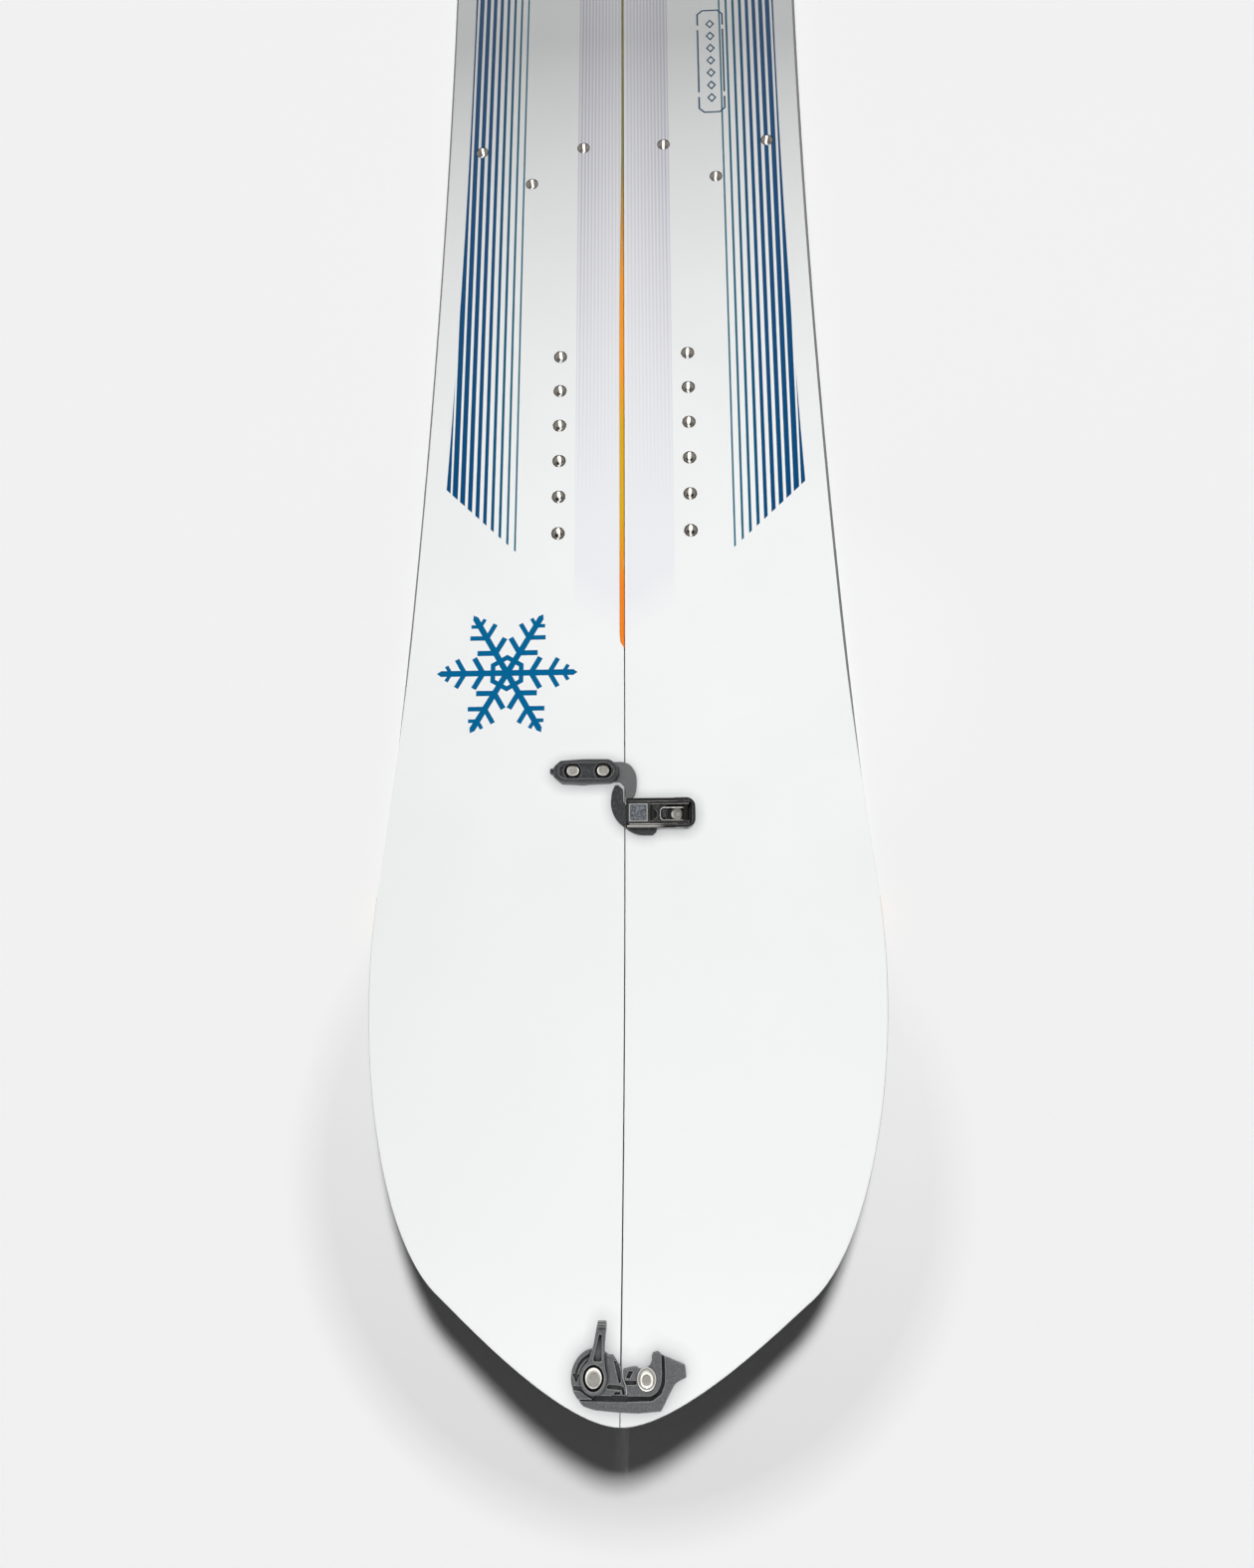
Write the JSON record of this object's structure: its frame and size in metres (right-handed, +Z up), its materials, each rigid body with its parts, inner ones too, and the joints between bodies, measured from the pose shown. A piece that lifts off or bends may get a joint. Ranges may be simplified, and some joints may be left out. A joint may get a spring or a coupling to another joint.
{
  "type": "splitboard",
  "caption": "Snowboard that splits lengthways into touring skis, joined along its seam by draw-latch clips and by cam-lever clips at nose and tail.",
  "frame": {"origin": "on the seam between the skis, at half the overall length, at the height of the ground under the board", "axes": "+X to the right-hand ski, +Y from nose to tail, +Z up through the topsheet"},
  "size_m": [0.2954, 1.59, 0.0692],
  "materials": {
    "topsheet": "satin white topsheet with printed blue and grey pinstripes",
    "core": "vertically laminated strips of wood",
    "sidewall": "ground dark plastic sidewall",
    "seam_sidewall": "bevelled orange plastic sidewall",
    "base": "stone-ground sintered polyethylene",
    "edge_steel": "ground steel edge",
    "insert_steel": "turned stainless steel",
    "screw_steel": "bright stainless steel",
    "clip_housing": "grained black moulding",
    "hook_plate": "dark grey coated steel plate",
    "latch_metal": "glossy black anodised metal"
  },
  "bodies": {
    "left_ski": {"left_topsheet": "topsheet", "left_core": "core", "left_outer_sidewall": "sidewall", "left_inner_sidewall": "seam_sidewall", "left_base": "base", "left_outer_edge": "edge_steel", "left_inner_edge": "edge_steel", "left_front_inserts": "insert_steel", "left_rear_inserts": "insert_steel", "left_touring_inserts": "insert_steel", "left_heel_inserts": "insert_steel", "left_front_clip_inserts": "insert_steel", "left_rear_clip_inserts": "insert_steel", "front_hook_block": "clip_housing", "front_hook_plate": "hook_plate", "front_hook_screw_1": "screw_steel", "front_hook_screw_2": "screw_steel", "rear_hook_block": "clip_housing", "rear_hook_plate": "hook_plate", "rear_hook_screw_1": "screw_steel", "rear_hook_screw_2": "screw_steel", "nose_lever_plate": "clip_housing", "nose_lever_screw": "screw_steel", "tail_bar_plate": "clip_housing", "tail_bar_screw": "screw_steel"},
    "right_ski": {"right_topsheet": "topsheet", "right_core": "core", "right_outer_sidewall": "sidewall", "right_inner_sidewall": "seam_sidewall", "right_base": "base", "right_outer_edge": "edge_steel", "right_inner_edge": "edge_steel", "right_front_inserts": "insert_steel", "right_rear_inserts": "insert_steel", "right_touring_inserts": "insert_steel", "right_heel_inserts": "insert_steel", "right_front_clip_inserts": "insert_steel", "right_rear_clip_inserts": "insert_steel", "front_latch_base": "latch_metal", "front_latch_pin": "screw_steel", "front_latch_screw_1": "screw_steel", "front_latch_screw_2": "screw_steel", "rear_latch_base": "latch_metal", "rear_latch_pin": "screw_steel", "rear_latch_screw_1": "screw_steel", "rear_latch_screw_2": "screw_steel", "tail_lever_plate": "clip_housing", "tail_lever_screw": "screw_steel", "nose_bar_plate": "clip_housing", "nose_bar_screw": "screw_steel"},
    "front_lever": {"front_latch_lever": "latch_metal"},
    "front_bail": {"front_latch_bail": "screw_steel"},
    "front_hook": {"front_draw_hook": "clip_housing"},
    "rear_lever": {"rear_latch_lever": "latch_metal"},
    "rear_bail": {"rear_latch_bail": "screw_steel"},
    "rear_hook": {"rear_draw_hook": "clip_housing"},
    "nose_cam": {"nose_lever": "clip_housing"},
    "tail_cam": {"tail_lever": "clip_housing"}
  },
  "joints": [
    {"name": "split_slide", "type": "slide", "parent": "left_ski", "child": "right_ski", "axis": [1, 0, 0], "range_m": [0, 0.12]},
    {"name": "front_lever_hinge", "type": "hinge", "parent": "right_ski", "child": "front_lever", "pos_m": [0.036, -0.51135, 0.01575], "axis": [0, 1, 0], "range_deg": [0, 100]},
    {"name": "front_bail_hinge", "type": "hinge", "parent": "front_lever", "child": "front_bail", "pos_m": [0.036, -0.51135, 0.01245], "axis": [0, 1, 0], "range_deg": [-101, 1]},
    {"name": "front_hook_slide", "type": "slide", "parent": "right_ski", "child": "front_hook", "axis": [-1, 0, 0], "range_m": [0, 0.0036]},
    {"name": "rear_lever_hinge", "type": "hinge", "parent": "right_ski", "child": "rear_lever", "pos_m": [0.036, 0.52365, 0.01556], "axis": [0, 1, 0], "range_deg": [0, 100]},
    {"name": "rear_bail_hinge", "type": "hinge", "parent": "rear_lever", "child": "rear_bail", "pos_m": [0.036, 0.52365, 0.01226], "axis": [0, 1, 0], "range_deg": [-101, 1]},
    {"name": "rear_hook_slide", "type": "slide", "parent": "right_ski", "child": "rear_hook", "axis": [-1, 0, 0], "range_m": [0, 0.0036]},
    {"name": "nose_lever_turn", "type": "hinge", "parent": "left_ski", "child": "nose_cam", "pos_m": [-0.012, -0.778, 0.06014], "axis": [0, 0.3895, 0.921], "range_deg": [0, 100]},
    {"name": "tail_lever_turn", "type": "hinge", "parent": "right_ski", "child": "tail_cam", "pos_m": [0.012, 0.778, 0.04158], "axis": [0, -0.3195, 0.9476], "range_deg": [0, 100]}
  ],
  "couplings": [
    {"joint": "front_bail_hinge", "follows": "front_lever_hinge", "ratio": -1},
    {"joint": "front_hook_slide", "follows": "front_lever_hinge", "m_per_rad": 0.002},
    {"joint": "rear_bail_hinge", "follows": "rear_lever_hinge", "ratio": -1},
    {"joint": "rear_hook_slide", "follows": "rear_lever_hinge", "m_per_rad": 0.002}
  ]
}
